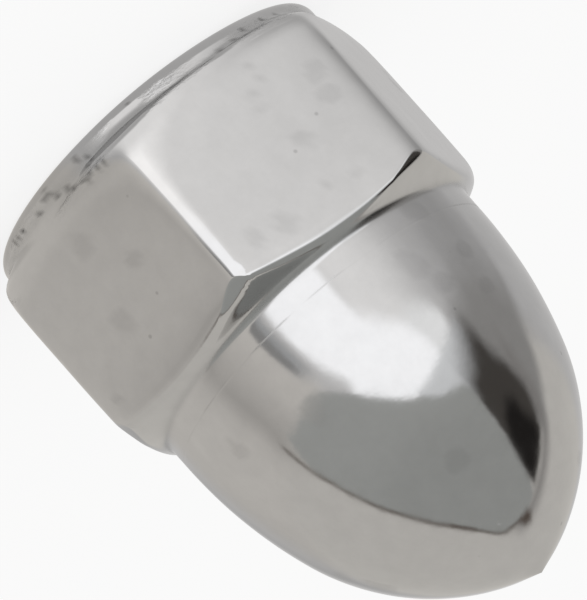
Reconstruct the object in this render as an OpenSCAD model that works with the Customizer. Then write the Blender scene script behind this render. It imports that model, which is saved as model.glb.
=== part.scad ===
// High-crown cap nut: a hexagon body with a turned washer face, a short neck and
// a bullet-shaped dome over a blind threaded hole. One turned and buffed piece.
// The bearing face lies on z = 0 and +Z runs along the hole axis to the point.
// All sizes are millimetres and degrees.

/* [Hexagon body] */
// Width across the flats, a 9/16 inch spanner size
across_flats = 14.29; // [13.9:0.01:17]
// Radius that buffing leaves on the six upright corners
corner_round = 0.9; // [0.2:0.05:2]
// Height from the bearing face to the foot of the neck
body_h = 8.65; // [6:0.05:14]
// Angle of the upper corner chamfer, measured from the bearing plane
top_chamfer = 34; // [15:1:45]
// Angle of the lower corner chamfer, measured from the bearing plane
base_chamfer = 27; // [10:1:40]

/* [Washer face] */
// Diameter of the round washer face under the hexagon
collar_d = 13.8; // [12:0.05:13.85]
// Height of the washer face
collar_h = 0.8; // [0.4:0.05:1.6]
// Rounding of the outer edge of the bearing face
collar_edge = 0.25; // [0.1:0.05:0.35]

/* [Neck and dome] */
// Diameter of the neck and of the foot of the dome
neck_d = 13.4; // [12:0.05:13.85]
// Height of the straight neck
neck_h = 0.85; // [0.3:0.05:2]
// Radius of the flat lower arc of the dome
flank_r = 16.65; // [14:0.05:24]
// Height over the neck at which the flank turns into the nose
flank_h = 5.4; // [4:0.05:6]
// Radius of the rounder arc of the nose
nose_r = 8.658; // [7.6:0.002:10]
// Slope of the short cone at the point, measured from the bearing plane
point_slope = 22; // [20:0.5:30]

/* [Threaded hole] */
// Major diameter of the thread, 3/8 inch
thread_d = 9.525; // [6:0.005:10]
// Thread pitch, sixteen turns to the inch
thread_pitch = 1.5875; // [0.8:0.0005:2]
// Depth of the drilled wall, from the bearing face to the foot of the drill cone
hole_depth = 13.5; // [8:0.1:14]
// Included angle of the drill point at the blind end
drill_angle = 118; // [90:1:140]
// Width of the lead-in chamfer outside the thread, on each side
lead_in = 0.2; // [0:0.05:0.6]
// Included angle of the lead-in chamfer
lead_angle = 90; // [60:5:120]

/* [Hidden] */
$fn = 96;
eps = 0.01;
metal = "#b9b7b4";

flat_r = across_flats / 2;
corner_r = flat_r / cos(30);
collar_r = collar_d / 2;
neck_r = neck_d / 2;
dome_z = body_h + neck_h;
// radial place of a corner's rounding centre, and half the width of a flat's straight run
round_at = (flat_r - corner_round) / cos(30);
flat_run = (flat_r - corner_round) * tan(30);
// how far the corner arc stays inside the flats, so that the two meet at a clear edge
arc_step = 0.015;

// Flank arc: it leaves the neck upright, so its centre is level with the neck's end.
flank_x = neck_r - flank_r;
join_x = flank_x + sqrt(flank_r * flank_r - flank_h * flank_h);
// Nose arc: tangent to the flank at the join, so its centre is on the flank's radius there.
nose_share = nose_r / flank_r;
nose_x = join_x - (join_x - flank_x) * nose_share;
nose_z = flank_h * (1 - nose_share);
// Point: a cone whose foot is sunk a little under the nose arc, so that it rises out of
// the arc at a clear edge.
point_sink = 0.012;
point_x = nose_x + (nose_r - point_sink) * sin(point_slope);
point_z = nose_z + (nose_r - point_sink) * cos(point_slope);
tip_z = point_z + point_x * tan(point_slope);

hole_r = (thread_d - thread_pitch) / 2;
drill_tip = hole_r / tan(drill_angle / 2);
mouth_r = thread_d / 2 + lead_in;
lead_depth = (mouth_r - hole_r) / tan(lead_angle / 2);

// Outline of the hexagon across the axis: straight flats and true round corners.
module hexagon() {
    polygon([for (i = [0:5], side = [-1, 1])
        let (a = 30 + 60 * i) [
            flat_r * cos(a) - side * flat_run * sin(a),
            flat_r * sin(a) + side * flat_run * cos(a)]]);
    for (i = [0:5]) rotate(60 * i) translate([round_at, 0]) circle(r = corner_round - arc_step);
}

// Double cone that chamfers the hexagon's corners at both ends.
module chamfer_cones() {
    rise = corner_r - collar_r;
    fall = corner_r - neck_r;
    rotate_extrude() polygon([
        [0, collar_h - eps], [collar_r, collar_h - eps], [collar_r, collar_h],
        [corner_r, collar_h + rise * tan(base_chamfer)],
        [corner_r, body_h - fall * tan(top_chamfer)],
        [neck_r, body_h], [0, body_h]]);
}

module hexagon_body() {
    intersection() {
        linear_extrude(height = body_h) hexagon();
        chamfer_cones();
    }
}

// Half outline of the washer face, with its rounded outer edge.
module collar_outline() {
    polygon([[0, 0], [collar_r - collar_edge, 0], [collar_r - collar_edge, collar_edge],
        [collar_r, collar_edge], [collar_r, collar_h], [0, collar_h]]);
    translate([collar_r - collar_edge, collar_edge]) circle(r = collar_edge);
}

// Half outline of the dome over its foot: flank arc, nose arc and point.
module dome_outline() {
    intersection() {
        translate([flank_x, 0]) circle(r = flank_r);
        square([neck_r, flank_h]);
    }
    intersection() {
        translate([nose_x, nose_z]) circle(r = nose_r);
        translate([0, flank_h]) square([neck_r, tip_z - flank_h]);
    }
    polygon([[0, point_z], [point_x, point_z], [0, tip_z]]);
}

module neck_and_dome() {
    rotate_extrude() {
        translate([0, collar_h]) square([neck_r, dome_z - collar_h]);
        translate([0, dome_z]) dome_outline();
    }
}

// Blind hole at the tapping size, with its drill cone and its lead-in chamfer.
module tapped_hole() {
    translate([0, 0, -eps]) cylinder(r = hole_r, h = hole_depth + eps);
    translate([0, 0, hole_depth]) cylinder(r1 = hole_r, r2 = 0, h = drill_tip);
    translate([0, 0, -eps]) cylinder(r1 = mouth_r + eps * tan(lead_angle / 2), r2 = hole_r,
        h = lead_depth + eps);
}

module cap_nut() {
    color(metal) difference() {
        union() {
            hexagon_body();
            rotate_extrude() collar_outline();
            neck_and_dome();
        }
        tapped_hole();
    }
}

cap_nut();
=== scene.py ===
"""High-crown cap nut: one turned, buffed and chrome-plated piece in a small light tent.

The nut stands on its bearing face at z = 0, and +Z runs along its hole to the dome's
point. Two opposite corners of its hexagon lie on the X axis. A list with a value for each
corner starts at +X and runs round towards +Y. Shape sizes are in millimetres, and every
mesh is made in metres.
"""

import bpy
import numpy as np
from mathutils import Matrix, Vector


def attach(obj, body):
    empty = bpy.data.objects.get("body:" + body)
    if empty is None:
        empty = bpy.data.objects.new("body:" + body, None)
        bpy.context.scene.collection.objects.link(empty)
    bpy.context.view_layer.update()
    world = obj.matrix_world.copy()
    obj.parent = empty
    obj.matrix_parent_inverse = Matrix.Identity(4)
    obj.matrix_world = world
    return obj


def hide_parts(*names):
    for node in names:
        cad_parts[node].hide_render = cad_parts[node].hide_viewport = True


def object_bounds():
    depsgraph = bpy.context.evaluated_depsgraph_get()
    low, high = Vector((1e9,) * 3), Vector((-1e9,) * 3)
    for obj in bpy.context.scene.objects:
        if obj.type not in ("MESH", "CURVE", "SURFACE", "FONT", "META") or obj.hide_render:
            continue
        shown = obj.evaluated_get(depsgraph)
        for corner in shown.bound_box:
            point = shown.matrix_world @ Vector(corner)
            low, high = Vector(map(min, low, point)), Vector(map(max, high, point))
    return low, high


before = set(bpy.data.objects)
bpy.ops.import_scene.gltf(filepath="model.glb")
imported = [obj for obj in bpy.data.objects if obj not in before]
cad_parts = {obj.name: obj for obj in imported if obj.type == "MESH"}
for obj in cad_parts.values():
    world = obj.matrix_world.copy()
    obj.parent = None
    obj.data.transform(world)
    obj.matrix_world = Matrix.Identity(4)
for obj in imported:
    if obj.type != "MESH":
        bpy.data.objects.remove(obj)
cad_box = [list(corner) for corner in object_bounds()]
MM = 0.001

# ---------------------------------------------------------------- sizes of the nut (mm)
ACROSS_FLATS = 14.29
FLAT_R = ACROSS_FLATS / 2
BODY_H = 8.65
COLLAR_R, COLLAR_H = 6.92, 0.8
RIM_WIDTH, RIM_HEIGHT = 0.33, 0.34
NECK_R, NECK_H = 6.7, 0.85
DOME_Z = BODY_H + NECK_H
FLANK_R, FLANK_H, NOSE_R = 16.65, 5.4, 8.658
POINT_SLOPE = np.radians(22)
TIP_Z = cad_box[1][2] / MM

# The hole: radii of the thread's groove and of the drill, and the pitch; then the depth,
# the drill's angle and the lead-in
THREAD_R, HOLE_R, PITCH = 4.7625, 3.96875, 1.5875
HOLE_DEPTH, DRILL_ANGLE, LEAD_IN = 13.5, np.radians(118), 0.2
DRILL_H = HOLE_R / np.tan(DRILL_ANGLE / 2)
MOUTH_R = THREAD_R + LEAD_IN
# The thread's groove: where it ends and how wide its sloping side is, as shares of half a
# pitch, and how far before the drill's cone it has run out
THREAD_EDGE, THREAD_SIDE, THREAD_STOP = 0.8, 0.62, 1.0

# The chamfer cones: slope from level, and height where each meets the neck or the collar
TOP_SLOPE, TOP_FOOT = np.radians(27), 8.55
BASE_SLOPE, BASE_FOOT = np.radians(27), COLLAR_H
# Buffing leaves one small flat across each corner of both chamfers: the way it faces,
# from the corner's own azimuth and from level, its distance from the middle, and each
# corner's own difference from that distance
TOP_FACET = (np.radians(17), np.radians(28), 10.38, (0, -0.05, 0.03, -0.01, 0.02, 0.07))
BASE_FACET = (np.radians(-17), np.radians(-28), 6.24, (-0.05, 0.04, 0.01, 0.02, -0.07, 0.04))

# The wheel has also rolled the foot of one flat: the way that roll faces, from +X and
# from level, its distance from the middle, and how much straighter it is than a cone
ROLLED_FOOT = (np.radians(33), np.radians(-28), 5.72, 0.75)
# The turned collar is a little fuller on one side: by how much, and which way
COLLAR_BULGE, COLLAR_SIDE = 0.13, np.radians(75)
# Its rolled rim is worn wider and higher on the other side: by how much, which way, and
# how far round
RIM_WEAR, RIM_SIDE, RIM_REACH = 0.16, np.radians(-42), np.radians(45)
# How much lower the base chamfer hangs at each corner
CORNER_SAG = np.array([0.06, 0.18, 0.08, 0.08, -0.04, 0.20])

# How softly buffing has run neighbouring faces into each other: along the flats, at each
# corner, and round the corners' buffed flats
TOP_EDGE_ROUND, BASE_EDGE_ROUND = 0.09, 0.12
TOP_CORNER_ROUND = np.array([0.05, 0.08, 0.10, 0.10, 0.14, 0.065])
TOP_FACET_ROUND = np.array([0.007, 0.03, 0.04, 0.04, 0.08, 0.02])
BASE_CORNER_ROUND, BASE_FACET_ROUND = 0.17, 0.10
# One stretch of the top edge is crisper: by how much, its middle, and its reach
CRISP, CRISP_SIDE, CRISP_REACH = 0.05, np.radians(-49), np.radians(20)
# The same for the inner corners at the neck's foot and over the collar, and for the plain
# walls away from them
FOOT_ROUND, COLLAR_ROUND, PLAIN_ROUND = 0.10, 0.05, 0.02
# The neck's rounding sets in this far under its foot, and both change over this height
FOOT_DEPTH, ROUND_FADE = 2.0, 1.0
# How much lower the ends of the flats and of the corners are than their middles
FLAT_CROWN, CORNER_CROWN = 0.02, 0.05
# The corners' own rounding brings them from the sharp hexagon to just inside the box
BOX_SLACK = 0.001
CORNER_REACH = cad_box[1][0] / MM - BOX_SLACK
CORNER_ROUND = (FLAT_R - CORNER_REACH * np.cos(np.pi / 6)) / np.log(2)

# A fine groove is left where the dome's turning ends: its depth and half width
GROOVE, GROOVE_HALF = 0.002, 0.03
# Knocks: azimuth in degrees, height, radius and depth
DINGS = [(-1.5, 7.45, 0.16, 0.025), (121.5, 7.3, 0.2, 0.03), (60.5, 4.6, 0.15, 0.02),
         (-119.0, 2.2, 0.18, 0.025), (150.0, 14.8, 0.3, 0.012), (-152.0, 6.1, 0.2, 0.012)]
# Ripples are laid under the plain skin by so many times their own spread, and over the
# dome they and the knocks point to a place on the axis
RIPPLE_SINK, DOME_MIDDLE = 2.5, BODY_H + 3

# Seeded waves that make things uneven: their slope, their shortest and longest length,
# how many there are, and the seed
RIPPLES = (0.0045, (1.1, 3.0), 48, 3)
BLOOM_RIMS = (1.1, (0.5, 1.2), 24, 5)
GRIME_RIMS = (8, (0.12, 0.4), 40, 17)
GROOVE_PATCHES = (3.0, (1.5, 3.5), 24, 13)
PIT_PATCHES = (3.0, (1.5, 3.5), 24, 9)

# ---------------------------------------------------------------- marks on the skin (mm)
# Soft blooms in the shine: azimuth in degrees, height and radius
BLOOMS = [(-55, 9.2, 0.48), (-61, 11.1, 0.42), (-41, 10.8, 0.50), (-47, 11.8, 0.40),
          (-60, 12.6, 0.30), (-12, 16.8, 0.42), (-17, 7.2, 0.36),
          (-9, 6.9, 0.34), (-40, 1.9, 0.22), (-40, 2.4, 0.22), (-37, 2.9, 0.20),
          (-35, 3.5, 0.22), (-38, 5.1, 0.36), (-43, 7.1, 0.22), (-34, 6.9, 0.16),
          (-53, 3.4, 0.40), (-52, 4.4, 0.36), (19, 4.4, 0.34), (37, 5.4, 0.46),
          (54, 7.0, 0.25), (30, 2.7, 0.50), (12, 12.4, 0.45), (41, 11.3, 0.30)]
# More are strewn over the rest: how many, the seed, their heights and radii, and the side
# that they keep off, with its reach, in degrees
STREWN, STREWN_SEED = 70, 11
STREWN_HEIGHTS, STREWN_RADII = (1, 19), (0.15, 0.45)
OWN_SIDE, OWN_REACH = -7, 75
# Dirt in the plate's pits: azimuth in degrees, height and radius
GRIME = [(16, 1.22, 0.11), (13.5, 1.30, 0.13), (11.5, 1.30, 0.12), (9, 1.38, 0.13),
         (6.5, 1.47, 0.10), (22, 0.95, 0.15), (19, 1.08, 0.10), (25, 0.82, 0.09),
         (14, 0.55, 0.12), (11, 0.70, 0.08), (27, 0.50, 0.14), (30, 0.40, 0.08),
         (34, 0.62, 0.07), (45, 0.50, 0.08), (48, 0.45, 0.09), (51, 0.40, 0.09),
         (-58, 0.50, 0.10), (-65, 0.55, 0.09), (-38, 0.78, 0.08), (-44, 0.72, 0.08),
         (-49, 0.50, 0.08), (-8, 0.30, 0.08), (140, 1.1, 0.16), (-150, 0.5, 0.14)]
# Where a spot starts and ends to fade, as shares of its radius, and the least and most
# that its ragged rim stretches that
BLOOM_FADE, GRIME_FADE, GRIME_RAGGED = (1.25, 0.75), (1.45, 0.35), (0.55, 1.7)
# Dull bands: middle height, width, and how dull
DULL_FOOT = (TOP_FOOT + 0.06, 0.12, 1.0)
DULL_GROOVE = (DOME_Z, GROOVE_HALF, 1.3)
DULL_COLLAR = (BASE_FOOT - 0.1, 0.18, 0.8)
# Pitted bands: the collar's middle height and width, and the width along the flats' foot
PIT_HEIGHT, PIT_WIDTH, FOOT_PIT_WIDTH = 0.5, 0.24, 0.13
# How much of those bands is open on the whole
GROOVE_OPEN, PIT_OPEN = 0.5, 0.8

# ---------------------------------------------------------------- fineness of the mesh
# Columns round the axis, and how much they crowd at the corners
COLUMNS, COLUMN_CROWD = 288, 0.75
# Rows of the dome's point, of each of its arcs, of the rim and of the bearing face, then
# the depth and rows of the hole's mouth, and the rows of its wall and of the drill's cone
POINT_ROWS, ARC_ROWS, RIM_ROWS, FACE_ROWS = 8, 48, 15, 8
MOUTH_DEPTH, MOUTH_ROWS, WALL_ROWS, DRILL_ROWS = 1.1, 12, 104, 12
# Rows between the body's edges, from the dome's groove down to the collar's rim
BODY_ROWS = [12, 5, 10, 20, 18, 18, 16, 4]
# Radii between which the hexagon and the skin are looked for, and how often the span is
# halved
HEXAGON_SPAN, SKIN_SPAN, HALVINGS = (6.5, 9.0), (6.0, 9.0), 26


# ---------------------------------------------------------------- shape of the nut
def smooth(x):
    """The smoothstep of x cut to 0..1."""
    x = np.clip(x, 0, 1)
    return x * x * (3 - 2 * x)


def ramp(x, start, end):
    """A smoothstep that is 0 at start and before it, and 1 at end and past it."""
    return smooth((x - start) / (end - start))


def band(off, width):
    """exp of minus the square of the distance off over the width: 1 at a band's middle."""
    return np.exp(-(off / width) ** 2)


def round_max(a, b, reach):
    """The greater of a and b with the edge between them rounded: reach times the log of
    the sum of exp(a / reach) and exp(b / reach), which stands reach * log 2 over it."""
    return np.maximum(a, b) + reach * np.log1p(np.exp(-np.abs(a - b) / reach))


def round_min(a, b, reach):
    """The lesser of a and b with the inner corner between them filled the same way."""
    return -round_max(-a, -b, reach)


def spread(count, start=True, end=True):
    """Shares from 0 to 1 that crowd towards the chosen ends, as a cosine does."""
    turn = np.linspace(0 if start else np.pi / 2, np.pi if end else np.pi / 2, count)
    share = -np.cos(turn)
    return (share - share[0]) / (share[-1] - share[0])


def column_angles():
    """Azimuths of the mesh's columns: evenly spaced angles u moved to u - a sin(6u) / 6,
    which crowds them at the six corners."""
    u = np.linspace(0, 2 * np.pi, COLUMNS, endpoint=False)
    return u - COLUMN_CROWD * np.sin(6 * u) / 6


def from_corner(azimuth):
    """Angle of an azimuth from the nearest corner of the hexagon."""
    return (azimuth + np.pi / 6) % (np.pi / 3) - np.pi / 6


def corner_number(azimuth):
    """Number of the nearest corner of the hexagon, from 0 at +X."""
    return np.round(azimuth / (np.pi / 3)).astype(int) % 6


def wave_near(azimuth, side, reach):
    """A cosine's squared half wave: 1 toward a side, 0 beyond a reach from it."""
    off = np.angle(np.exp(1j * (azimuth - side)))
    return np.cos(np.clip(off / reach, -1, 1) * np.pi / 2) ** 2


def over_hexagon(azimuth, radius):
    """How far a point stands out of the nearest two flats, rounded at their corner."""
    off = from_corner(azimuth)
    left, right = radius * np.cos(np.pi / 6 - off), radius * np.cos(np.pi / 6 + off)
    return round_max(left, right, CORNER_ROUND) - FLAT_R


def over_cone(radius, z, foot_r, foot_z, slope):
    """How far a point stands out of a chamfer cone that rises inwards from its foot."""
    return (radius - foot_r) * np.sin(slope) + (z - foot_z) * np.cos(slope)


def facet_distance(azimuth, facet):
    """Distance from the middle to the buffed flat of the corner nearest to an azimuth."""
    turn, _, distance, changes = facet
    return distance + np.array(changes)[corner_number(azimuth - turn)]


def over_facet(azimuth, radius, z, facet):
    """How far a point stands out of the buffed flat on the nearest corner."""
    turn, rise = facet[:2]
    across = radius * np.cos(from_corner(azimuth - turn))
    return across * np.cos(rise) + z * np.sin(rise) - facet_distance(azimuth, facet)


def facet_height(azimuth, radius, facet):
    """Height at which a corner's buffed flat cuts the skin at a radius."""
    turn, rise = facet[:2]
    across = radius * np.cos(from_corner(azimuth - turn))
    return (facet_distance(azimuth, facet) - across * np.cos(rise)) / np.sin(rise)


def over_rolled_foot(azimuth, radius, z):
    """How far a point stands out of the roll along one flat's foot: a cone that is
    straightened sideways by a share of 1 - cos of the angle from its middle."""
    turn, rise, distance, straight = ROLLED_FOOT
    across = radius * (1 - straight * (1 - np.cos(azimuth - turn)))
    return across * np.cos(rise) + z * np.sin(rise) - distance


def collar_radius(azimuth):
    """Radius of the collar's side: round, with a bulge that falls as the square of the
    cosine from its own side."""
    return COLLAR_R + COLLAR_BULGE * np.maximum(np.cos(azimuth - COLLAR_SIDE), 0) ** 2


def rim_roll(azimuth):
    """Width and height of the collar's rolled rim, a quarter of an ellipse: even, with
    more wear near one side."""
    wear = RIM_WEAR * wave_near(azimuth, RIM_SIDE, RIM_REACH)
    return RIM_WIDTH + wear, RIM_HEIGHT + wear


def base_foot(azimuth):
    """Height at which the base chamfer starts from the collar: even at the flats' middles,
    and lower by each corner's own sag towards that corner, as a cosine squared."""
    sag = CORNER_SAG[corner_number(azimuth)] * np.cos(from_corner(azimuth) * 3) ** 2
    return BASE_FOOT - sag


def neck_radius(z):
    """Radius of the neck and of the dome's first stretch: the flank arc's parabola over
    the neck, less the fine groove where turning ends."""
    groove = GROOVE * band(z - DOME_Z, GROOVE_HALF)
    return NECK_R - np.maximum(z - DOME_Z, 0) ** 2 / (2 * FLANK_R) - groove


def collar_side(azimuth, z):
    """Radius of the collar: straight over its rim, and a quarter of an ellipse below."""
    width, height = rim_roll(azimuth)
    share = np.sqrt(np.clip(1 - np.clip(1 - z / height, 0, 1) ** 2, 0, 1))
    return collar_radius(azimuth) - width * (1 - share)


def outside_body(azimuth, radius, z):
    """How far a point stands out of the nut below its dome: the greatest of its distances
    from the crowned hexagon, the two chamfer cones, the corners' buffed flats and the
    rolled foot, or its distance from the neck or collar, whichever is less."""
    corner = np.abs(from_corner(azimuth)) / (np.pi / 6)
    crown = CORNER_CROWN + (FLAT_CROWN - CORNER_CROWN) * np.minimum(corner * 2, 1)
    body = over_hexagon(azimuth, radius) + crown * (z / (BODY_H / 2) - 1) ** 2

    flat = smooth(corner * 2)
    reach = TOP_CORNER_ROUND[corner_number(azimuth)]
    reach = reach + (TOP_EDGE_ROUND - reach) * flat
    reach = reach - CRISP * wave_near(azimuth, CRISP_SIDE, CRISP_REACH)
    body = round_max(body, over_cone(radius, z, NECK_R, TOP_FOOT, TOP_SLOPE), reach)
    reach = BASE_CORNER_ROUND + (BASE_EDGE_ROUND - BASE_CORNER_ROUND) * flat
    body = round_max(body, over_cone(radius, -z, COLLAR_R, -base_foot(azimuth), BASE_SLOPE), reach)
    reach = TOP_FACET_ROUND[corner_number(azimuth - TOP_FACET[0])]
    body = round_max(body, over_facet(azimuth, radius, z, TOP_FACET), reach)
    body = round_max(body, over_facet(azimuth, radius, z, BASE_FACET), BASE_FACET_ROUND)
    body = round_max(body, over_rolled_foot(azimuth, radius, z), BASE_EDGE_ROUND)

    upper = z > BODY_H / 2
    column = radius - np.where(upper, neck_radius(z), collar_side(azimuth, z))
    foot = ramp(z, TOP_FOOT - FOOT_DEPTH, TOP_FOOT - FOOT_DEPTH + ROUND_FADE)
    neck_round = PLAIN_ROUND + (FOOT_ROUND - PLAIN_ROUND) * foot
    plain = ramp(z, COLLAR_H, COLLAR_H + ROUND_FADE)
    collar_round = COLLAR_ROUND + (PLAIN_ROUND - COLLAR_ROUND) * plain
    return round_min(body, column, np.where(upper, neck_round, collar_round))


def solve_radius(outside, azimuth, z, span):
    """Radius at which outside(azimuth, radius, z) crosses zero, by halving the span."""
    low, high = np.full(z.shape, span[0]), np.full(z.shape, span[1])
    for _ in range(HALVINGS):
        middle = (low + high) / 2
        out = outside(azimuth, middle, z) > 0
        low, high = np.where(out, low, middle), np.where(out, middle, high)
    return (low + high) / 2


def dome_outline():
    """Heights and radii down the dome from the point to just over the neck: the point's
    cone, then the nose arc and the flank arc by equal angles."""
    flank_x = NECK_R - FLANK_R
    join_x = flank_x + np.sqrt(FLANK_R ** 2 - FLANK_H ** 2)
    share = NOSE_R / FLANK_R
    nose_x = join_x - (join_x - flank_x) * share
    nose_z = DOME_Z + FLANK_H * (1 - share)
    join_angle = np.arcsin(FLANK_H / FLANK_R)
    # the cone leaves the nose where the arc is one degree flatter than the cone
    leave = np.pi / 2 - POINT_SLOPE + np.radians(1)
    cone_r = nose_x + NOSE_R * np.cos(leave)
    cone_z = nose_z + NOSE_R * np.sin(leave)
    point = spread(POINT_ROWS, end=False)[1:-1]
    nose = np.linspace(leave, join_angle, ARC_ROWS)
    flank = np.linspace(join_angle, np.arcsin(4 * GROOVE_HALF / FLANK_R), ARC_ROWS)[1:]
    z = np.concatenate([TIP_Z + (cone_z - TIP_Z) * point, nose_z + NOSE_R * np.sin(nose),
                        DOME_Z + FLANK_R * np.sin(flank)])
    r = np.concatenate([cone_r * point, nose_x + NOSE_R * np.cos(nose),
                        flank_x + FLANK_R * np.cos(flank)])
    return z, r


def edge_heights(azimuth):
    """Heights at which the chamfers, their buffed flats or the rolled foot meet the
    hexagon, at its top and at its base."""
    level = np.ones_like(azimuth)
    hexagon = solve_radius(lambda a, r, z: over_hexagon(a, r), azimuth, level, HEXAGON_SPAN)
    top = TOP_FOOT - (hexagon - NECK_R) * np.tan(TOP_SLOPE)
    top = np.minimum(top, facet_height(azimuth, hexagon, TOP_FACET))
    base = base_foot(azimuth) + (hexagon - COLLAR_R) * np.tan(BASE_SLOPE)
    base = np.maximum(base, facet_height(azimuth, hexagon, BASE_FACET))
    rolled = -over_rolled_foot(azimuth, hexagon, 0) / np.sin(ROLLED_FOOT[1])
    return top, np.maximum(base, rolled)


def body_rows(azimuth):
    """Heights and radii of the rows from the groove over the neck to the bearing face.
    Each column's rows are knotted where its own chamfers meet its flat, so that no edge
    runs across them, and crowd at the knots."""
    level = np.ones_like(azimuth)
    top, base = edge_heights(azimuth)
    knots = [(DOME_Z + 3 * GROOVE_HALF) * level, (DOME_Z - 3 * GROOVE_HALF) * level,
             (TOP_FOOT + 4 * FOOT_ROUND) * level, TOP_FOOT * level, top,
             BODY_H / 2 * level, base, COLLAR_H * level, rim_roll(azimuth)[1]]
    z = [knots[0][None]]
    for upper, lower, count in zip(knots[:-1], knots[1:], BODY_ROWS):
        z.append(upper + (lower - upper) * spread(count)[1:, None])
    roll = np.linspace(0, np.pi / 2, RIM_ROWS)[1:, None]
    z.append(knots[-1] * (1 - np.sin(roll)))
    z = np.concatenate(z)
    return z, solve_radius(outside_body, azimuth[None], z, SKIN_SPAN)


def thread_radius(azimuth, z):
    """Wall of the tapped hole: a groove of trapezoid section whose middle climbs one
    pitch for each turn, faded out at the blind end."""
    phase = (z / PITCH - azimuth / (2 * np.pi)) % 1
    side = 2 * np.abs(phase - 0.5)
    groove = np.clip((THREAD_EDGE - side) / THREAD_SIDE, 0, 1)
    fade = np.clip((HOLE_DEPTH - THREAD_STOP - z) / PITCH, 0, 1)
    return HOLE_R + (THREAD_R - HOLE_R) * groove * fade


def hole_rows(azimuth):
    """Heights and radii of the rows from the collar's rim over the bearing face, into the
    lead-in cone, up the thread and into the drill's cone."""
    level = np.ones_like(azimuth)
    rim = collar_radius(azimuth) - rim_roll(azimuth)[0]
    face_r = rim + (MOUTH_R - rim) * spread(FACE_ROWS)[1:, None]
    wall_z = np.concatenate([np.linspace(0, MOUTH_DEPTH, MOUTH_ROWS)[1:],
                             np.linspace(MOUTH_DEPTH, HOLE_DEPTH, WALL_ROWS)[1:]])
    wall_z = wall_z[:, None] * level
    wall_r = np.maximum(thread_radius(azimuth[None], wall_z), MOUTH_R - wall_z)
    cone = np.linspace(0, 1, DRILL_ROWS)[1:-1, None]
    cone_z = (HOLE_DEPTH + DRILL_H * cone) * level
    cone_r = HOLE_R * (1 - cone) * level
    z = np.concatenate([0 * face_r, wall_z, cone_z])
    r = np.concatenate([face_r, wall_r, cone_r])
    return z, r


def waves(points, slope, lengths, count, seed):
    """Sum of plane waves with seeded directions, lengths and phases, each as high as its
    share of the slope makes it."""
    chance = np.random.default_rng(seed)
    towards = chance.normal(size=(count, 3))
    towards /= np.linalg.norm(towards, axis=1, keepdims=True)
    length = chance.uniform(*lengths, count)
    phase = chance.uniform(0, 2 * np.pi, count)
    height = slope * length / (2 * np.pi) * np.sqrt(2 / count)
    return np.sin(points @ (towards / length[:, None] * 2 * np.pi).T + phase) @ height


def place_on(points, azimuth, z):
    """The point of the skin nearest to an azimuth in degrees and a height."""
    turn = np.radians(azimuth) - np.arctan2(points[:, 1], points[:, 0])
    turn = (turn + np.pi) % (2 * np.pi) - np.pi
    return points[np.argmin((turn * NECK_R) ** 2 + (points[:, 2] - z) ** 2)]


def distance_on(points, azimuth, z):
    """Distance of the points from the place at an azimuth and a height."""
    return np.linalg.norm(points - place_on(points, azimuth, z), axis=1)


def work_over(points):
    """The outside skin as the wheel and use have left it: pushed in along the way out
    from the axis, or from a centre inside the dome, by slow ripples and by round dings
    whose depth falls as exp of minus the square of their distance."""
    away = points * [1, 1, 0] + [0, 0, 1] * np.maximum(points[:, 2:] - DOME_MIDDLE, 0)
    away /= np.linalg.norm(away, axis=1, keepdims=True)
    rise = waves(points, *RIPPLES)
    push = np.minimum(rise - RIPPLE_SINK * rise.std(), 0) * ramp(points[:, 2], 0, COLLAR_H)
    for azimuth, z, radius, depth in DINGS:
        push = push - depth * band(distance_on(points, azimuth, z), radius)
    return points + away * push[:, None]


def nut_surface():
    """The whole skin's points, row by row round the axis from the dome's point down the
    outside, over the bearing face and up the hole, then the dome's point and the drill's
    centre; and the numbers of its rows and of its points on the outside."""
    azimuth = column_angles()
    level = np.ones_like(azimuth)
    dome_z, dome_r = dome_outline()
    body_z, body_r = body_rows(azimuth)
    hole_z, hole_r = hole_rows(azimuth)
    z = np.concatenate([dome_z[:, None] * level, body_z, hole_z])
    r = np.concatenate([dome_r[:, None] * level, body_r, hole_r])
    points = np.stack([r * np.cos(azimuth), r * np.sin(azimuth), z], axis=-1).reshape(-1, 3)
    outside = (len(dome_z) + len(body_z)) * COLUMNS
    points[:outside] = work_over(points[:outside])
    points = np.concatenate([points, [[0, 0, TIP_Z], [0, 0, HOLE_DEPTH + DRILL_H]]])
    return points, len(z), outside


# ---------------------------------------------------------------- marks on the skin
def spot_share(points, spots, ragged, fade):
    """Share of each point under round spots: a smoothstep of the distance from each
    spot's middle over its radius, which the ragged rim stretches."""
    share = np.zeros(len(points))
    for azimuth, z, radius in spots:
        off = distance_on(points, azimuth, z) * ragged / radius
        share = np.maximum(share, ramp(off, *fade))
    return share


def bloom_share(points):
    """Share of each point under a soft bloom: those listed, and those strewn by seeded chance on
    the other sides."""
    chance = np.random.default_rng(STREWN_SEED)
    strewn = np.stack([chance.uniform(0, 360, STREWN), chance.uniform(*STREWN_HEIGHTS, STREWN),
                       chance.uniform(*STREWN_RADII, STREWN)], axis=-1)
    off_side = np.abs((strewn[:, 0] + 180 - OWN_SIDE) % 360 - 180) > OWN_REACH
    spots = [*BLOOMS, *strewn[off_side].tolist()]
    return spot_share(points, spots, 1 + waves(points, *BLOOM_RIMS), BLOOM_FADE)


def grime_share(points):
    """Share of each point under one of the spots of dirt."""
    ragged = np.clip(1 + waves(points, *GRIME_RIMS), *GRIME_RAGGED)
    return spot_share(points, GRIME, ragged, GRIME_FADE)


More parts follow.
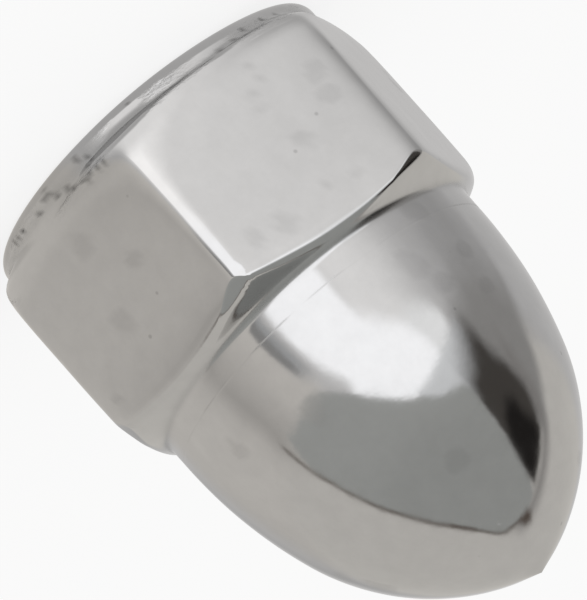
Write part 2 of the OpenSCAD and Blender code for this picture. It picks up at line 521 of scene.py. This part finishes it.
def dull_share(points):
    """Share of each point that the wheel could not reach: bands along the neck's foot,
    along the dome's groove in patches, and where the collar meets the hexagon."""
    z, radius = points[:, 2], np.hypot(points[:, 0], points[:, 1])
    foot, groove, collar = [share * band(z - middle, width)
                            for middle, width, share in (DULL_FOOT, DULL_GROOVE, DULL_COLLAR)]
    patchy = np.clip(GROOVE_OPEN + waves(points, *GROOVE_PATCHES), 0, 1)
    return np.max([foot * (radius < FLAT_R), groove * patchy, collar], axis=0)


def pit_share(points):
    """Share of each point that has pits in its plate, in patches: a band round the
    collar, and one along the foot of the flats."""
    azimuth = np.arctan2(points[:, 1], points[:, 0])
    base = edge_heights(column_angles())[1]
    edge = np.interp(azimuth % (2 * np.pi), column_angles(), base, period=2 * np.pi)
    patchy = np.clip(PIT_OPEN + waves(points, *PIT_PATCHES), 0, 1)
    collar = band(points[:, 2] - PIT_HEIGHT, PIT_WIDTH)
    return np.maximum(collar, band(points[:, 2] - edge, FOOT_PIT_WIDTH)) * patchy


# ---------------------------------------------------------------- meshes
def sleeve_faces(rows, columns):
    """Corner numbers of the quads between neighbouring rows of a closed sleeve."""
    row, column = np.meshgrid(np.arange(rows - 1), np.arange(columns), indexing="ij")
    after = (column + 1) % columns
    return np.stack([row * columns + column, (row + 1) * columns + column,
                     (row + 1) * columns + after, row * columns + after], axis=-1).reshape(-1, 4)


def add_mesh(name, points, quads, triangles=()):
    """A smooth mesh object at the origin from arrays of points, quads and triangles."""
    mesh = bpy.data.meshes.new(name)
    mesh.from_pydata(points.tolist(), [], [*quads.tolist(), *np.asarray(triangles).tolist()])
    mesh.polygons.foreach_set("use_smooth", np.ones(len(mesh.polygons), bool))
    mesh.update()
    piece = bpy.data.objects.new(name, mesh)
    bpy.context.scene.collection.objects.link(piece)
    return piece


def add_share(piece, name, share):
    """A number between 0 and 1 for each point of a piece, for its material to read."""
    layer = piece.data.attributes.new(name, "FLOAT", "POINT")
    layer.data.foreach_set("value", share.astype(np.float32))


def make_nut():
    """The nut's skin, closed at the dome's point and the drill's centre, with its marks."""
    points, rows, outside = nut_surface()
    ring = np.arange(COLUMNS)
    after = (ring + 1) % COLUMNS
    point, drill_tip = len(points) - 2, len(points) - 1
    last = (rows - 1) * COLUMNS
    caps = np.concatenate([
        np.stack([ring, after, np.full(COLUMNS, point)], axis=-1),
        np.stack([last + after, last + ring, np.full(COLUMNS, drill_tip)], axis=-1)])
    piece = add_mesh("cap_nut_skin", points * MM, sleeve_faces(rows, COLUMNS), caps)
    for name, mark in (("bloom", bloom_share), ("dull", dull_share), ("pitted", pit_share),
                       ("grime", grime_share)):
        share = np.zeros(len(points))
        share[:outside] = mark(points[:outside])
        add_share(piece, name, share)
    return piece


# ---------------------------------------------------------------- materials
CHROME, DIRT, PAPER = "#C8C8C8", "#1E1C1A", "#FCFCFB"
# How many of each pattern the chrome has in a millimetre, and how much the ridges are
# drawn out
CLOUDS, SPECK_CELLS, RIDGES, PEEL_CRESTS = 1.25, 0.76, 1.5, 2.6
RIDGE_DRAW = 5.0
# Heights of the peel, the ridges and the pits (mm)
PEEL_HEIGHT, RIDGE_HEIGHT, PIT_DEPTH = 0.0013, 0.08, 0.02
# What part of each noise counts: the clouds' span, the cells that have a speck and its
# inner and outer radius in cells, and the ridges' span over which a pit opens, with how
# much the pitted bands help it
CLOUD_SPAN, SPECK_PICK, SPECK_RADII = (0.3, 0.7), 0.62, (0.035, 0.075)
PIT_SPAN, PIT_HELP = (0.84, 0.96), 0.27
# Roughness and lost light of the clean plate, from clearest to most clouded, and what
# each mark adds to them
CLEAN_ROUGHNESS, CLEAN_LOSS = (0.065, 0.115), (0.0, 0.05)
ROUGHER = {"bloom": 0.10, "dull": 0.17, "pitted": 0.05, "grime": 0.15, "pit": 0.2}
DARKER = {"bloom": 0.09, "dull": 0.10, "speck": 0.22, "grime": 0.42, "pit": 0.4}


def linear(hex_colour):
    """The linear colour of an sRGB hex value, with full alpha."""
    parts = np.array([int(hex_colour[i:i + 2], 16) / 255 for i in (1, 3, 5)])
    parts = np.where(parts <= 0.04045, parts / 12.92, ((parts + 0.055) / 1.055) ** 2.4)
    return (*parts.tolist(), 1.0)


def new_material(name):
    """An empty node material and its tree."""
    material = bpy.data.materials.new(name)
    material.use_nodes = True
    material.node_tree.nodes.clear()
    return material, material.node_tree


def add_node(tree, kind, settings=None, inputs=None):
    """Adds a node, sets its properties, and fills its inputs with values or links."""
    node = tree.nodes.new(kind)
    for key, value in (settings or {}).items():
        setattr(node, key, value)
    for key, value in (inputs or {}).items():
        if isinstance(value, bpy.types.NodeSocket):
            tree.links.new(value, node.inputs[key])
        else:
            node.inputs[key].default_value = value
    return node


def bright_chrome():
    """Bright chrome plate over buffed steel: near-mirror, faintly clouded by the wheel."""
    material, tree = new_material("bright_chrome_plate")
    place = add_node(tree, "ShaderNodeTexCoord").outputs["Object"]
    marks = {name: add_node(tree, "ShaderNodeAttribute", {"attribute_name": name}).outputs["Fac"]
             for name in ("bloom", "dull", "pitted", "grime")}

    # clouds about 0.8 mm across: the film of polish that a cloth leaves, seen as slow
    # changes in how clear the reflections are
    cloud = add_node(tree, "ShaderNodeTexNoise", inputs={
        "Vector": place, "Scale": CLOUDS / MM, "Detail": 3.0, "Roughness": 0.6}).outputs[0]
    cloud = add_node(tree, "ShaderNodeMapRange", inputs={
        "Value": cloud, "From Min": CLOUD_SPAN[0], "From Max": CLOUD_SPAN[1],
        "To Min": 0.0, "To Max": 1.0})

    # lone specks under 0.1 mm: about one in three cells of 1.3 mm has one, and most of
    # those lie under the skin
    fleck = add_node(tree, "ShaderNodeTexVoronoi", inputs={
        "Vector": place, "Scale": SPECK_CELLS / MM})
    picked = add_node(tree, "ShaderNodeMath", {"operation": "GREATER_THAN"},
                      {0: fleck.outputs["Color"], 1: SPECK_PICK})
    speck = add_node(tree, "ShaderNodeMapRange", inputs={
        "Value": fleck.outputs["Distance"], "From Min": SPECK_RADII[0],
        "From Max": SPECK_RADII[1], "To Min": 1.0, "To Max": 0.0})
    speck = add_node(tree, "ShaderNodeMath", {"operation": "MULTIPLY"},
                     {0: speck.outputs[0], 1: picked.outputs[0]})
    marks["speck"] = speck.outputs[0]

    # drawn-out ridges round the collar and the foot, as a lathe tool and dirt leave them,
    # coarser than real ones so that they show
    drawn = add_node(tree, "ShaderNodeMapping", inputs={
        "Vector": place, "Scale": (1.0, 1.0, RIDGE_DRAW)})
    ridge = add_node(tree, "ShaderNodeTexNoise", inputs={
        "Vector": drawn.outputs[0], "Scale": RIDGES / MM, "Detail": 4.0, "Roughness": 0.65})
    ridge_height = add_node(tree, "ShaderNodeMath", {"operation": "MULTIPLY"},
                            {0: ridge.outputs[0], 1: marks["pitted"]})

    # pits that open between those ridges, only where the plate is thin over corners that
    # the wheel missed
    open_by = add_node(tree, "ShaderNodeMath", {"operation": "MULTIPLY_ADD"},
                       {0: marks["pitted"], 1: PIT_HELP, 2: ridge.outputs[0]})
    pit = add_node(tree, "ShaderNodeMapRange", inputs={
        "Value": open_by.outputs[0], "From Min": PIT_SPAN[0], "From Max": PIT_SPAN[1],
        "To Min": 0.0, "To Max": 1.0})
    marks["pit"] = pit.outputs[0]

    # fine orange peel, 0.4 mm from crest to crest, which makes reflected edges ragged
    peel = add_node(tree, "ShaderNodeTexNoise", inputs={
        "Vector": place, "Scale": PEEL_CRESTS / MM, "Detail": 2.0, "Roughness": 0.5})
    peel = add_node(tree, "ShaderNodeBump", inputs={
        "Height": peel.outputs[0], "Distance": PEEL_HEIGHT * MM, "Strength": 1.0})
    drawn_bump = add_node(tree, "ShaderNodeBump", inputs={
        "Height": ridge_height.outputs[0], "Distance": RIDGE_HEIGHT * MM, "Strength": 1.0,
        "Normal": peel.outputs[0]})
    sunk = add_node(tree, "ShaderNodeBump", {"invert": True}, inputs={
        "Height": marks["pit"], "Distance": PIT_DEPTH * MM, "Strength": 1.0,
        "Normal": drawn_bump.outputs[0]})

    roughness = add_node(tree, "ShaderNodeMapRange", inputs={
        "Value": cloud.outputs[0], "To Min": CLEAN_ROUGHNESS[0], "To Max": CLEAN_ROUGHNESS[1]})
    for name, gain in ROUGHER.items():
        roughness = add_node(tree, "ShaderNodeMath", {"operation": "MULTIPLY_ADD"},
                             {0: marks[name], 1: gain, 2: roughness.outputs[0]})

    # the share of light that the film and the marks take away
    loss = add_node(tree, "ShaderNodeMapRange", inputs={
        "Value": cloud.outputs[0], "To Min": CLEAN_LOSS[0], "To Max": CLEAN_LOSS[1]})
    for name, gain in DARKER.items():
        loss = add_node(tree, "ShaderNodeMath", {"operation": "MULTIPLY_ADD"},
                        {0: marks[name], 1: gain, 2: loss.outputs[0]})
    colour = add_node(tree, "ShaderNodeMix", {"data_type": "RGBA"}, {
        "Factor": loss.outputs[0], 6: linear(CHROME), 7: linear(DIRT)})

    shader = add_node(tree, "ShaderNodeBsdfPrincipled", inputs={
        "Base Color": colour.outputs[2], "Metallic": 1.0, "Roughness": roughness.outputs[0],
        "Normal": sunk.outputs[0]})
    add_node(tree, "ShaderNodeOutputMaterial", inputs={"Surface": shader.outputs[0]})
    return material


# ---------------------------------------------------------------- light tent
# The polished skin shows what stands round it, so the tent is painted by direction as
# seen from inside the nut. Azimuth runs from +X towards +Y, and elevation from the
# horizon, both in degrees.
# Its radius, the height that it is seen from, and its lowest and highest elevations
TENT_R, EYE_Z, SKIRT, TENT_TOP = 300, 8.0, -53, 89.5
# Its columns, and its rows below and above the horizon
TENT_COLUMNS, SKIRT_ROWS, SKY_ROWS = 360, 90, 180

# Tones are levels of linear light: 1 is white, and the lamp and what it lights go over it
WALL = (0.70, 0.675, 0.635)
CEILING = (0.41, 0.415, 0.40)
LAMP = (1.53, 1.53, 1.55)
GLOW = (1.20, 1.20, 1.20)
SILL = (0.90, 0.91, 0.92)
SHADE = (0.355, 0.345, 0.335)
# Painted shadow on the table's edge: its darker core and its softer rim
TABLE_SHADOW_CORE = (0.33, 0.325, 0.32)
TABLE_SHADOW = (0.48, 0.485, 0.49)
HAZE = (0.29, 0.275, 0.265)
SEAM = (0.12, 0.095, 0.08)
DOORWAY = (0.075, 0.068, 0.062)
DEEP = (0.020, 0.018, 0.017)

# Brightness of the table by azimuth: far from the nut, in front of its flats, close round its
# collar, and the even brightness right under the collar's rim. The last two carry the nut's
# painted shadow on the table.
TABLE = [(-180, 0.62), (-132, 0.60), (-124, 0.50), (-112, 0.44), (-100, 0.47), (-92, 0.50),
         (-84, 0.59), (-76, 0.64), (-70, 0.72), (-64, 0.82), (-56, 0.97), (-46, 1.09),
         (-38, 1.12), (-30, 1.13), (-22, 0.95), (10, 0.80), (15, 0.73), (29, 0.72), (38, 0.67),
         (46, 0.60), (53, 0.55), (59, 0.49), (64, 0.55), (70, 0.64), (80, 0.69), (110, 0.69),
         (140, 0.57), (150, 0.48), (160, 0.60), (170, 0.80), (180, 0.64)]
NEAR = [(-180, 0.62), (-127, 0.60), (-112, 0.46), (-96, 0.52), (-84, 0.61), (-79, 0.64),
        (-62, 0.83), (-50, 0.99), (-38, 1.05), (-32, 1.06), (-24, 1.32), (-16, 1.52),
        (-8, 1.52), (7, 1.50), (9, 1.05), (15, 0.77), (26, 0.70), (40, 0.58), (52, 0.63),
        (75, 0.66), (110, 0.66), (180, 0.62)]
CLOSE = [(-180, 0.64), (-100, 0.62), (-80, 0.58), (-62, 0.58), (-56, 0.62), (-50, 0.72),
         (-44, 0.87), (-36, 1.03), (-20, 1.15), (-2, 1.15), (2.5, 1.02), (8, 0.72),
         (13, 0.58), (20, 0.60), (30, 0.60), (42, 0.68), (75, 0.72), (180, 0.66)]
UNDER = 0.58
# Elevations over which each of those gives way to the next
NEAR_FADE, CLOSE_FADE, UNDER_FADE = (-9, -15), (-29, -41), (-45.3, -46.9)
# The table's two tints, and the azimuths over which the warm one sets in and goes again
COOL_TINT, WARM_TINT = (1.015, 1.0, 0.99), (1.045, 1.0, 0.94)
WARM_START, WARM_END = (12, 24), (150, 120)
# The walls rise from the table over these elevations on every side but the lamp's: the
# middle of that side, and the angles from it over which they set in
WALL_RISE, LAMP_SIDE, WALL_START = (2, 12), -27, (70, 90)
# The ceiling gets lighter as it comes down: by how much, and over which elevations
CEILING_LIFT, LIFT_FADE = 0.1, (45, 15)

# What hangs in the tent: its tone, how many degrees its rim takes to run out, the width of
# a strip or 0 for a whole card, and its corners. A later one hangs in front.
HUNG_FIRST = [
    # a dark corner beyond the table and a haze over it, and a painted shadow on the table's edge
    # with a darker core
    (SHADE, 12, 0, [(-125, -2), (-123, 2), (-120, 9), (-119, 24), (-119, 36), (-100, 36),
                    (-84, 20), (-74, 9), (-77, 5), (-93, -1), (-104, -2)]),
    (HAZE, 13, 6, [(-142, 76), (-127, 62), (-122, 48), (-118, 36), (-109, 26), (-97, 16)]),
    (TABLE_SHADOW, 7, 0, [(15.5, -1), (23, -2), (25, -14), (16, -14)]),
    (TABLE_SHADOW_CORE, 3, 0, [(19.5, -2.5), (23, -2.5), (25, -8), (25.5, -13.5), (20, -14)]),
    # the lamp's glow beside it, and the soft box itself
    (GLOW, 8, 0, [(-68, 11), (-60, 15), (-50, 17), (-44, 14), (-44, 4), (-52, 2), (-62, 3),
                  (-67, 5)]),
    (LAMP, 8, 0, [(-55, 24), (-53, 14), (-50, 10), (-47, 7), (-42, 4), (-34, 0.5), (-27, -2),
                  (-25, -5), (-25, -15), (-13, -16), (0, -16), (12, -15), (12, -4), (10, 0),
                  (8.5, 2), (6.5, 4), (4.5, 6), (3, 8), (5, 10), (10, 16), (-10, 24), (-30, 30)]),
    # the sill under the ceiling, and the dusk before the doorway
    (SILL, 2.5, 0, [(-56, 31), (-25, 28), (-25, 20.3), (-33, 19.2), (-41, 17.3), (-47, 15.8),
                    (-53.5, 13.9), (-60, 12.2), (-66, 10.1), (-73, 7.8), (-76, 22)]),
    (DOORWAY, 17, 0, [(-56, 31), (-58, 22), (-62, 19), (-66, 16), (-69, 13), (-72, 10.5),
                      (-77, 12), (-84, 22), (-88, 34), (-80, 46), (-65, 40)])]
# The ceiling card's rim, of which one stretch also has a seam
CEILING_BLUR = 1.8
FAR_RIM = [(56, 65), (61, 74), (75, 79.5), (90, 82), (120, 83.5), (170, 83.5), (-160, 82.5),
           (-145, 80), (-133, 75)]
CEILING_RIM = [(61, 12), (58.5, 17), (58, 25), (56.5, 45), *FAR_RIM, (-125, 67), (-119, 61),
               (-108, 59), (-97, 57.7), (-88, 55.3), (-80.5, 51.8), (-75, 47.5), (-70, 44),
               (-67, 40.5), (-63.5, 37.3), (-61, 32.5), (-58, 27), (-54, 23.7), (-49, 24),
               (-41, 24.4), (-31, 23.2), (-25, 21.4), (-19, 20.2), (-14, 18.8), (-9.5, 17.2),
               (-5, 15.6), (-0.5, 13.9), (3.5, 12.1), (7.5, 10.2), (14, 7), (20, 4.5),
               (28, 3.2), (42, 4.2), (54, 4), (59, 8)]
HUNG_LAST = [
    # seams along two stretches of the ceiling's rim, and the hinge at their end
    (SEAM, 4, 2.4, [(62, 5), (62, 12), (59.5, 17), (58.5, 25), (57, 45), (57, 62), (60, 70),
                    (66, 76)]),
    (SEAM, 2.6, 1.7, FAR_RIM),
    (SEAM, 5, 0, [(-147, 72), (-140, 76), (-130, 74), (-126, 69), (-134, 66), (-143, 67)]),
    # the doorway, its threshold, and the deep dark inside
    (DOORWAY, 3, 0, [(-116, 57.5), (-108, 58.3), (-97, 57), (-88, 54.6), (-80.5, 51),
                     (-75, 46.7), (-70, 43.2), (-67, 39.6), (-63.5, 36.4), (-61.5, 31.5),
                     (-68, 28), (-84, 26), (-100, 32), (-112, 38), (-114, 45)]),
    (DOORWAY, 9, 0, [(-112, 38), (-109, 33.5), (-105, 29), (-102, 25.5), (-98, 23.3),
                     (-94.5, 21.2), (-91.5, 18.5), (-88, 16.8), (-83, 15), (-80.5, 12.2),
                     (-78, 11), (-74, 13), (-72, 20), (-70, 32), (-84, 40)]),
    (DEEP, 8, 0, [(-114, 56.5), (-105, 57.5), (-96, 56.3), (-88, 53.5), (-80, 49), (-77, 40),
                  (-81, 33), (-89, 32), (-95, 36), (-107, 37), (-112, 41)])]


def direction(azimuth, elevation):
    """Unit vectors of azimuths and elevations in degrees."""
    turn, rise = np.radians(azimuth), np.radians(elevation)
    level = np.cos(rise)
    return np.stack([level * np.cos(turn), level * np.sin(turn), np.sin(rise)], axis=-1)


def sky_map(azimuth, elevation):
    """Flat map of directions: degrees from the zenith, laid out at their azimuth."""
    return np.stack([(90 - elevation) * np.cos(np.radians(azimuth)),
                     (90 - elevation) * np.sin(np.radians(azimuth))], axis=-1)


def edge_distance(at, start, end):
    """Distance on the map from the points to the straight edge between two corners."""
    along = end - start
    share = np.clip((at - start) @ along / (along @ along), 0, 1)
    return np.linalg.norm(at - start - share[..., None] * along, axis=-1)


def card(at, corners, blur):
    """Share of a flat card with the given corners seen at each point of the map: 1 where
    an even-odd count of edges finds it inside, running out over blur degrees."""
    ring = sky_map(*np.array(corners, float).T)
    inside = np.zeros(at.shape[:-1], bool)
    distance = np.full(at.shape[:-1], np.inf)
    for start, end in zip(ring, np.roll(ring, -1, axis=0)):
        distance = np.minimum(distance, edge_distance(at, start, end))
        # a level edge is never crossed, and any rise but 0 does for it
        rise = end[1] - start[1] or 1.0
        crossing = start[0] + (at[..., 1] - start[1]) / rise * (end[0] - start[0])
        spans = (start[1] > at[..., 1]) != (end[1] > at[..., 1])
        inside ^= spans & (at[..., 0] < crossing)
    return smooth(np.where(inside, distance, -distance) / blur + 0.5)


def strip(at, corners, width, blur):
    """Share of a thin strip along a chain of corners, running out over blur degrees."""
    chain = sky_map(*np.array(corners, float).T)
    distance = np.min([edge_distance(at, a, b) for a, b in zip(chain[:-1], chain[1:])], axis=0)
    return smooth((width / 2 - distance) / blur + 0.5)


def paint(tent, share, tone):
    """The tent's colours with another laid over them by share."""
    return tent + (tone - tent) * share[..., None]


def hang(tent, at, cards):
    """The tent's colours with a list of cards and strips hung before them in turn."""
    for tone, blur, width, corners in cards:
        share = strip(at, corners, width, blur) if width else card(at, corners, blur)
        tent = paint(tent, share, np.array(tone))
    return tent


def table_colour(azimuth, elevation):
    """Colour of the table by direction: brightness by azimuth, blended from the far table
    through the nearer ones by elevation, times a cool or a warm tint."""
    table = np.interp(azimuth, *np.array(TABLE, float).T)
    near = np.interp(azimuth, *np.array(NEAR, float).T)
    close = np.interp(azimuth, *np.array(CLOSE, float).T)
    # the close and under tones lay the nut's painted shadow round its foot
    for nearer, fade in ((near, NEAR_FADE), (close, CLOSE_FADE), (UNDER, UNDER_FADE)):
        table = table + (nearer - table) * ramp(elevation, *fade)
    warm = ramp(azimuth, *WARM_START) * ramp(azimuth, *WARM_END)
    return table[..., None] * paint(np.array(COOL_TINT), warm, np.array(WARM_TINT))


def tent_colour(azimuth, elevation):
    """Colour of the tent by direction: the table and the pale walls over it, then a soft
    box, a grey ceiling card with a dark seam, and a dark doorway, each hung before the
    last."""
    at = sky_map(azimuth, elevation)
    tent = table_colour(azimuth, elevation)
    walls = ramp(elevation, *WALL_RISE) * ramp(np.abs(azimuth - LAMP_SIDE), *WALL_START)
    tent = paint(tent, walls, np.array(WALL))
    tent = hang(tent, at, HUNG_FIRST)
    lift = 1 + CEILING_LIFT * ramp(elevation, *LIFT_FADE)
    tent = paint(tent, card(at, CEILING_RIM, CEILING_BLUR), lift[..., None] * CEILING)
    return hang(tent, at, HUNG_LAST)


def tent_cloth():
    """Cloth that glows with its own painted colour."""
    material, tree = new_material("tent_cloth")
    tone = add_node(tree, "ShaderNodeAttribute", {"attribute_name": "cloth"})
    glow = add_node(tree, "ShaderNodeEmission", inputs={"Color": tone.outputs["Color"]})
    add_node(tree, "ShaderNodeOutputMaterial", inputs={"Surface": glow.outputs[0]})
    material.cycles.emission_sampling = "NONE"
    return material


def make_tent():
    """The tent's skin: a grid of directions from EYE_Z on the nut's axis, each carried out
    to the dome of the tent or, below the horizon, down to the floor."""
    azimuth = np.linspace(-180, 180, TENT_COLUMNS, endpoint=False)
    elevation = np.concatenate([np.linspace(SKIRT, 0, SKIRT_ROWS)[:-1],
                                np.linspace(0, TENT_TOP, SKY_ROWS)])
    elevation, azimuth = np.meshgrid(elevation, azimuth, indexing="ij")
    sink = np.maximum(-np.sin(np.radians(elevation)), EYE_Z / TENT_R)
    points = direction(azimuth, elevation) * (EYE_Z / sink)[..., None] + [0, 0, EYE_Z]
    tent = add_mesh("light_tent", points.reshape(-1, 3) * MM, sleeve_faces(*azimuth.shape))
    colour = np.ones((azimuth.size, 4))
    colour[:, :3] = tent_colour(azimuth, elevation).reshape(-1, 3)
    shade = tent.data.attributes.new("cloth", "FLOAT_COLOR", "POINT")
    shade.data.foreach_set("color", colour.astype(np.float32).reshape(-1))
    tent.data.materials.append(tent_cloth())
    # only reflections see it, so it throws no light on the floor
    tent.visible_camera = False
    tent.visible_diffuse = False
    tent.visible_shadow = False
    tent.visible_transmission = False


# ---------------------------------------------------------------- floor, world and camera
# The floor's half side and how far it lies below the nut (mm), and how much of it shows
# as plain white
FLOOR_HALF, FLOOR_DROP, FLOOR_WHITE = 1200, 0.02, 0.8
# The camera: the point it looks at and its distance (mm); the way it stands, from +X and
# from level, and its roll (degrees); its lens (mm), and the nearest and farthest that it
# sees (m)
AIM, DISTANCE = (0.50, 0.10, 7.64), 354
VIEW_AZIMUTH, VIEW_ELEVATION, VIEW_ROLL = -7.47, 14.0, 138.41
LENS, NEAREST, FARTHEST = 619.7, 0.01, 10


def seen_white(tree):
    """1 for rays that see the background itself: from the camera, off metal or through
    glass. These show it plain white, as an overexposed sweep is."""
    path = add_node(tree, "ShaderNodeLightPath")
    either = add_node(tree, "ShaderNodeMath", {"operation": "MAXIMUM"},
                      {0: path.outputs["Is Camera Ray"], 1: path.outputs["Is Glossy Ray"]})
    return add_node(tree, "ShaderNodeMath", {"operation": "MAXIMUM"},
                    {0: either.outputs[0], 1: path.outputs["Is Transmission Ray"]}).outputs[0]


def white_paper():
    """Matt white paper that shows mostly plain white, keeps a shadow, and is clear from
    below."""
    material, tree = new_material("pale_floor")
    paper = add_node(tree, "ShaderNodeBsdfDiffuse", inputs={"Color": linear(PAPER)})
    white = add_node(tree, "ShaderNodeEmission", inputs={"Strength": 1.0})
    share = add_node(tree, "ShaderNodeMath", {"operation": "MULTIPLY"},
                     {0: seen_white(tree), 1: FLOOR_WHITE})
    top = add_node(tree, "ShaderNodeMixShader",
                   inputs={0: share.outputs[0], 1: paper.outputs[0], 2: white.outputs[0]})
    clear = add_node(tree, "ShaderNodeBsdfTransparent")
    facing = add_node(tree, "ShaderNodeNewGeometry")
    sheet = add_node(tree, "ShaderNodeMixShader", inputs={
        0: facing.outputs["Backfacing"], 1: top.outputs[0], 2: clear.outputs[0]})
    add_node(tree, "ShaderNodeOutputMaterial", inputs={"Surface": sheet.outputs[0]})
    return material


def make_floor():
    """A pale square floor just under the nut."""
    across, along = FLOOR_HALF * np.array([[-1, 1, 1, -1], [-1, -1, 1, 1]])
    points = np.stack([across, along, np.full(4, -FLOOR_DROP)], axis=-1)
    floor = add_mesh("floor", points * MM, np.array([[0, 1, 2, 3]]))
    floor.data.materials.append(white_paper())


def make_world():
    """An even white surround."""
    world = bpy.data.worlds.new("white_room")
    world.use_nodes = True
    tree = world.node_tree
    tree.nodes.clear()
    white = add_node(tree, "ShaderNodeBackground", inputs={"Strength": 1.0})
    add_node(tree, "ShaderNodeOutputWorld", inputs={"Surface": white.outputs[0]})
    bpy.context.scene.world = world


def make_camera():
    """A long lens, rolled so that the nut leans with its point down to the right."""
    back = Vector(direction(VIEW_AZIMUTH, VIEW_ELEVATION))
    roll = Matrix.Rotation(np.radians(VIEW_ROLL), 3, "Z")
    turn = (-back).to_track_quat("-Z", "Y").to_matrix() @ roll
    place = (Vector(AIM) + back * DISTANCE) * MM
    camera = bpy.data.objects.new("camera", bpy.data.cameras.new("camera"))
    camera.matrix_world = Matrix.Translation(place) @ turn.to_4x4()
    camera.data.lens = LENS
    camera.data.clip_start, camera.data.clip_end = NEAREST, FARTHEST
    bpy.context.scene.collection.objects.link(camera)
    bpy.context.scene.camera = camera


nut = make_nut()
nut.data.materials.append(bright_chrome())
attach(nut, "root")
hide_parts("cap_nut")

make_tent()
make_floor()
make_world()
make_camera()
bpy.context.scene.view_settings.view_transform = "Standard"
